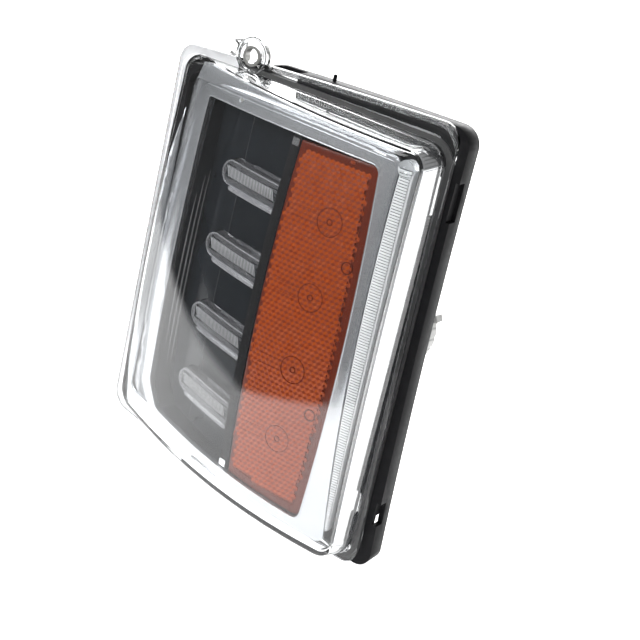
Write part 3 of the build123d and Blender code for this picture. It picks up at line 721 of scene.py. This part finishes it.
def make_amber_marks():
    """What shows through the amber window: the light guides' couplers, their rods and small bosses."""
    marks = Build()
    skin = AMBER_D - 0.22
    for i in range(BAR_COUNT):
        z = BAR_TOP_Z - i * BAR_PITCH
        marks.tube(circle(LAMP_X, z, LAMP_R, 0, 48, back=skin), 0.16, closed=True, sides=6)
        marks.tube(circle(LAMP_X, z, 1.3, 0, 20, back=skin), 0.22, closed=True, sides=6)
        drop = (BAR_RIGHT - BAR_LEFT) * math.tan(math.radians(BAR_TILT + i * BAR_TILT_STEP)) * 0.5
        for offset in (-2.4, 2.4):
            run = [on(x, z + offset - drop * (LAMP_X - x) / 30, skin) for x in (2.5, 6, 10, 14, 15.6)]
            marks.tube(run, 0.07, sides=5)
    for z in (36.4, -34.9):
        marks.tube(circle(35.7, z, 2.6, 0, 28, back=skin), 0.3, closed=True, sides=6)
    fine = 64
    edge = ring(AMBER, -4.9, per_side=fine)
    for p in edge[fine + PER_CORNER + 4:2 * fine + 5]:
        marks.tube([on(p.x, p.y - 0.25, skin), on(p.x, p.y + 0.25, skin)], 0.34, sides=6)
    piece("amber_marks", marks.verts, marks.faces, looks["amber_dark"], smooth=60)
    gate = Build()
    gate.tube([on(24.6, 80.4, AMBER_D - 0.05), on(26.0, 80.4, AMBER_D - 0.05)], 0.7, sides=8)
    for z in (51.8, 15.9, -17.0, -61.5):
        gate.tube([on(-1.6, z - 1.2, AMBER_D - 0.1), on(-1.5, z + 1.2, AMBER_D - 0.1)], 0.35, sides=6)
    piece("amber_gate", gate.verts, gate.faces, looks["amber_window"], smooth=60)


# ---------------------------------------------------------------- side strip

def make_strip():
    """The clear strip beside the frame: scalloped across its front, with a domed lens at the top."""
    corners, bows, _ = STRIP
    points = moved_out(corners, 0.0)
    samples, length = 6, 172.0           # points across one rib, and the strip's length
    count = int(length / RIB * samples)
    rows = []
    for i in range(count):
        t = 0.012 + 0.976 * i / (count - 1)
        right = side_point(points, bows, 1, t)[0]
        left = side_point(points, bows, 3, 1 - t)[0]
        lift = 0.42 * abs(math.sin(math.pi * i / samples))
        row = []
        for s, drop in ((0.0, 0.9), (0.04, 0.25), (0.14, 0.0), (0.5, -0.12), (0.80, 0.0), (0.83, 0.5),
                        (0.90, 0.5), (0.96, 0.7), (1.0, 1.4)):
            p = left.lerp(right, s)
            rib = lift if 0.1 < s < 0.82 else 0.0
            row.append(on(p.x, p.y, STRIP_D + 0.5 + drop - rib))
        for s in (1.0, 0.0):
            p = left.lerp(right, s)
            row.append(on(p.x, p.y, STRIP_D + STRIP_T))
        rows.append(row)
    strip = Build().rows(rows, cap_first=True, cap_last=True)
    # Grey beads in the troughs between the ribs: painted shade in the grooves.
    groove_shade = Build()
    for row in rows[::samples]:
        groove_shade.tube([row[2], row[3], row[4]], 0.2, sides=5)
    piece("strip_groove_shade", groove_shade.verts, groove_shade.faces, looks["flute_grey"], smooth=60)
    made = piece("side_strip", strip.verts, strip.faces, looks["strip_guide"], smooth=30)
    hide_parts("side_light_guide")
    dome = Build()
    x, z, radius = 51.2, 86.6, 3.9
    depth = front(x, z, STRIP_D)
    rings = []
    for k in range(1, 9):
        a = math.pi / 2 * k / 8
        rings.append(circle(x, z, radius * math.sin(a), depth + 0.4 - 3.0 * math.cos(a), 32))
    rings.append(circle(x, z, radius, depth + 4.5, 32))
    dome.rows(rings, cap_first=True, cap_last=True)
    piece("strip_dome", dome.verts, dome.faces, looks["clear_lens"], smooth=50)


# ---------------------------------------------------------------- panel and light bars

def make_panel_trim():
    """Flutes down the panel's left wall, and the fine crease down its floor."""
    flutes = Build()
    for x, back, radius in ((-60.6, 9.0, 0.55), (-59.6, 11.4, 0.8), (-58.5, 13.8, 0.7), (-57.5, 15.9, 0.5)):
        path = []
        for k in range(41):
            z = TRIM_TOP_Z - 140.0 + 140.0 * k / 40
            path.append(on(x, z, back))
        flutes.tube(path, radius, sides=10)
    piece("panel_flutes", flutes.verts, flutes.faces, looks["flute_grey"], smooth=50)
    # A grey bead down the black panel's crease: a painted highlight along the crease.
    crease = Build()
    path = []
    for k in range(61):
        z = TRIM_TOP_Z - 154.0 + 154.0 * k / 60
        t = z / 86
        path.append(on(-37 + 0.1 * t - 1.5 * t * t, z, PANEL_D + 0.02))
    crease.tube(path, 0.13, sides=6)
    piece("panel_crease_highlight", crease.verts, crease.faces, looks["flute_grey"], smooth=50)


def make_light_bars():
    """On each light bar: slanting ribs over dark beads, a clear edge and lower lip, and a second bar."""
    for i in range(BAR_COUNT):
        z0 = BAR_TOP_Z - i * BAR_PITCH
        tilt = math.radians(BAR_TILT + i * BAR_TILT_STEP)
        pivot = BAR_LEFT + BAR_H / 2

        def place(along, up, back):
            x = pivot + along * math.cos(tilt) + up * math.sin(tilt)
            z = z0 - along * math.sin(tilt) + up * math.cos(tilt)
            return on(x, z, back)

        length = BAR_RIGHT - pivot - 1.4
        work, hatch, shade = Build(), Build(), Build()
        for k in range(int(length + 1.0)):
            a = k - 2.0
            line = [place(a - 1.1, 2.5, GUIDE_D - 0.12), place(a + 1.1, -1.9, GUIDE_D - 0.12)]
            hatch.tube(line, 0.24, sides=6)
        # Painted shade: a dark outline round the bar and dark beads under its ribs stand for the shaded recess
        # round it and the dark cavity behind it.
        outline = [place(-2.9, 3.3, GUIDE_D), place(length, 3.3, GUIDE_D), place(length, -2.6, GUIDE_D),
                   place(-2.9, -2.6, GUIDE_D)]
        shade.tube(outline + outline[:1], 0.30, sides=6)
        for row in (1.2, -0.2, -1.4):
            line = [place(-2.6, row, GUIDE_D + 0.05), place(length, row, GUIDE_D + 0.05)]
            shade.tube(line, 0.62, sides=6, flat=0.3)
        piece(f"light_bar_hatch_{i + 1}", hatch.verts, hatch.faces, looks["hatch_light"],
              smooth=60)
        piece(f"light_bar_painted_shade_{i + 1}", shade.verts, shade.faces, looks["black_gloss"],
              smooth=60)
        for side in (1, -1):
            rim = [place(s, side * 5.55, GUIDE_D + 0.1) for s in [length * (1 - k / 12) for k in range(13)]]
            work.tube(rim, 0.4, sides=8)
        end = [place(5.55 * math.cos(a), 5.55 * math.sin(a), GUIDE_D + 0.1)
               for a in [math.pi * (0.5 + k / 16) for k in range(17)]]
        work.tube(end, 0.4, sides=8)
        lip = [place(1.0 + (length - 1.0) * k / 12, -BAR_H / 2 - 1.0, GUIDE_D + 1.2) for k in range(13)]
        work.tube(lip, 1.3, sides=12, flat=0.8)
        piece(f"light_bar_{i + 1}", work.verts, work.faces, looks["bar_edge"], smooth=45)
        upper = Build()
        ridge = [place(11 + (length - 11) * k / 10, BAR_H / 2 + 0.9, GUIDE_D + 3.0) for k in range(11)]
        upper.tube(ridge, 0.8, sides=10)
        for k in range(int(length - 12)):
            line = [place(12 + k, BAR_H / 2 + 0.4, GUIDE_D + 2.15),
                    place(12.6 + k, BAR_H / 2 + 1.5, GUIDE_D + 2.15)]
            upper.tube(line, 0.2, sides=5)
        piece(f"light_bar_upper_{i + 1}", upper.verts, upper.faces, looks["clear_guide"],
              smooth=45)


# ---------------------------------------------------------------- frame, housing and bulb details

def make_frame_trim():
    """A round bead along the frame's opening, and the double ridge along its top."""
    bead = Build()
    bead.tube([on(p.x, p.y, FRAME_D + 0.1) for p in ring(OPENING, 0.35)], 0.38, closed=True, sides=8)
    piece("frame_opening_bead", bead.verts, bead.faces, looks["silver_frame"], smooth=60)
    ridges = Build()
    for drop, radius in ((-0.6, 0.5), (-2.2, 0.35)):
        outline = ring(FRAME, drop)
        ridges.tube([on(p.x, p.y, FRAME_D + 0.05) for p in outline[1:43]], radius, sides=8)
    piece("frame_top_ridges", ridges.verts, ridges.faces, looks["silver_frame"], smooth=60)


def make_housing_marks():
    """A locating pin on top of the rim, and a round moulding mark by its lower right corner."""
    marks = Build()
    pin = [circle_flat(PIN_X, PIN_DEPTH, 0.9, z) for z in (RIM_TOP_Z - 1.5, RIM_TOP_Z + 1.9)]
    pin.append(circle_flat(PIN_X, PIN_DEPTH, 0.6, RIM_TOP_Z + 2.3))
    marks.rows(pin, cap_first=True, cap_last=True)
    turns = [2 * math.pi * k / 28 for k in range(28)]
    mark = [at(MARK_X, MARK_DEPTH + MARK_R * math.cos(a), MARK_Z + MARK_R * math.sin(a)) for a in turns]
    marks.tube(mark, 0.28, closed=True, sides=6)
    piece("housing_marks", marks.verts, marks.faces, looks["black_housing"], smooth=50)


def circle_flat(x, depth, radius, z, count=20):
    """A level ring of points round an upright axis."""
    turns = [2 * math.pi * k / count for k in range(count)]
    return [at(x + radius * math.cos(a), depth + radius * math.sin(a), z) for a in turns]


def make_filament():
    """The coiled filament and its two wires inside the bulb."""
    low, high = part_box("bulb_glass")
    x, z = (low.x + high.x) / 2 / MM, (low.z + high.z) / 2 / MM
    front_depth = (low.y - FRONT_Y) / MM
    coil = []
    for k in range(61):
        a = k * 2 * math.pi * 8 / 60
        coil.append(at(x - 2.2 + 4.4 * k / 60, front_depth + 8.0 + 0.35 * math.cos(a), z + 0.35 * math.sin(a)))
    wires = Build()
    wires.tube(coil, 0.06, sides=5)
    for side in (-1, 1):
        wires.tube([at(x + side * 2.3, front_depth + 8.0, z), at(x + side * 1.9, front_depth + 14.0, z),
                    at(x + side * 1.5, front_depth + 20.0, z)], 0.12, sides=6)
    piece("bulb_filament", wires.verts, wires.faces, looks["bulb_metal"], body="turn_holder")


# ---------------------------------------------------------------- stage, light and camera

def light_table():
    """White table top that gives its own light, dark grey in front of the lamp where the lit part ends."""
    material, nt, surface = tree("light_table")
    place = nt.nodes.new("ShaderNodeTexCoord")
    split = nt.nodes.new("ShaderNodeSeparateXYZ")
    nt.links.new(place.outputs["Object"], split.inputs["Vector"])
    corner = nt.nodes.new("ShaderNodeMath")
    corner.operation = "MULTIPLY_ADD"
    corner.inputs[1].default_value = TABLE_SLANT
    nt.links.new(split.outputs["X"], corner.inputs[0])
    nt.links.new(split.outputs["Y"], corner.inputs[2])
    edges = []
    for source, edge in ((split.outputs["Y"], TABLE_EDGE_Y), (corner.outputs["Value"], TABLE_CORNER)):
        lit = nt.nodes.new("ShaderNodeMapRange")
        lit.interpolation_type = "SMOOTHSTEP"
        lit.inputs["From Min"].default_value = edge - TABLE_FADE
        lit.inputs["From Max"].default_value = edge
        nt.links.new(source, lit.inputs["Value"])
        edges.append(lit.outputs["Result"])
    lit = nt.nodes.new("ShaderNodeMath")
    lit.operation = "MAXIMUM"
    nt.links.new(edges[0], lit.inputs[0])
    nt.links.new(edges[1], lit.inputs[1])
    shader = nt.nodes.new("ShaderNodeBsdfPrincipled")
    shader.inputs["Roughness"].default_value = 0.8
    shader.inputs["Specular IOR Level"].default_value = 0.1
    shader.inputs["Emission Color"].default_value = (1, 1, 1, 1)
    colour = tint(nt, lit.outputs["Value"], (0.10, 0.10, 0.10), (0.80, 0.80, 0.80))
    nt.links.new(colour, shader.inputs["Base Color"])
    glow = nt.nodes.new("ShaderNodeMath")
    glow.operation = "MULTIPLY"
    glow.inputs[1].default_value = TABLE_GLOW
    nt.links.new(lit.outputs["Value"], glow.inputs[0])
    nt.links.new(glow.outputs["Value"], shader.inputs["Emission Strength"])
    nt.links.new(shader.outputs["BSDF"], surface)
    return material


def make_stage():
    """The lit table's top, square to the camera, which curves up into a backdrop behind the lamp."""
    ground = cad_low.z
    turn = math.radians(CAMERA_TURN)
    start, bend, height, half = 3.2, 1.5, 5.0, 7.0
    ahead = Vector((-math.sin(turn), math.cos(turn), 0))
    aside = Vector((math.cos(turn), math.sin(turn), 0))
    profile = [(-6.0, 0.0), (start, 0.0)]
    for k in range(1, 13):
        a = math.pi / 2 * k / 12
        profile.append((start + bend * math.sin(a), bend - bend * math.cos(a)))
    profile.append((start + bend, height))
    verts, faces = [], []
    for reach, rise in profile:
        for side in (-half, half):
            verts.append(ahead * reach + aside * side + Vector((0, 0, ground + rise)))
    for k in range(len(profile) - 1):
        faces.append((2 * k, 2 * k + 1, 2 * k + 3, 2 * k + 2))
    mesh = bpy.data.meshes.new("stage_floor")
    mesh.from_pydata([tuple(v) for v in verts], [], faces)
    mesh.shade_smooth()
    mesh.materials.append(light_table())
    floor = bpy.data.objects.new("stage_floor", mesh)
    bpy.context.scene.collection.objects.link(floor)


def area_light(name, place, aim, size, power, colour=(1, 1, 1)):
    """A soft rectangular light."""
    data = bpy.data.lights.new(name, "AREA")
    data.shape = "RECTANGLE"
    data.size, data.size_y = size
    data.energy = power
    data.color = colour
    made = bpy.data.objects.new(name, data)
    made.location = place
    made.rotation_euler = (Vector(aim) - Vector(place)).to_track_quat("-Z", "Y").to_euler()
    bpy.context.scene.collection.objects.link(made)
    return made


def make_lights():
    """A dim white world and three large soft lights."""
    world = bpy.data.worlds.new("world")
    world.use_nodes = True
    world.node_tree.nodes["Background"].inputs["Color"].default_value = (1, 1, 1, 1)
    world.node_tree.nodes["Background"].inputs["Strength"].default_value = 0.30
    bpy.context.scene.world = world
    area_light("key", (-0.9, -1.5, 0.75), (0, 0, 0), (1.1, 0.9), 20)
    area_light("top", (-0.5, 0.5, 1.4), (0, 0, 0), (1.4, 1.0), 16)
    area_light("rear", (-0.95, 1.8, 0.85), (0, 0, 0.05), (1.8, 1.0), 32)


def make_camera():
    """The camera stands in front and to the right of the lamp, above it, and is rolled to its left."""
    data = bpy.data.cameras.new("camera")
    data.sensor_width = 36.0
    data.lens = 78.75
    data.clip_start, data.clip_end = 0.01, 50.0
    camera = bpy.data.objects.new("camera", data)
    right = Vector((0.81555, 0.53383, 0.22338))
    up = Vector((-0.37382, 0.19135, 0.90755))
    back = Vector((0.44174, -0.82366, 0.35561))
    turn = Matrix((right, up, back)).transposed()
    camera.matrix_world = Matrix.Translation((0.29993, -0.54714, 0.22732)) @ turn.to_4x4()
    bpy.context.scene.collection.objects.link(camera)
    bpy.context.scene.camera = camera


make_camera()
make_stage()
make_lights()
bpy.context.scene.view_settings.view_transform = "Standard"
dress_frame()
make_lens()
make_lens_ear()
make_flange_painted_glare()
make_lens_ribs()
make_amber()
make_amber_marks()
make_strip()
make_panel_trim()
make_light_bars()
make_frame_trim()
make_housing_marks()
make_filament()
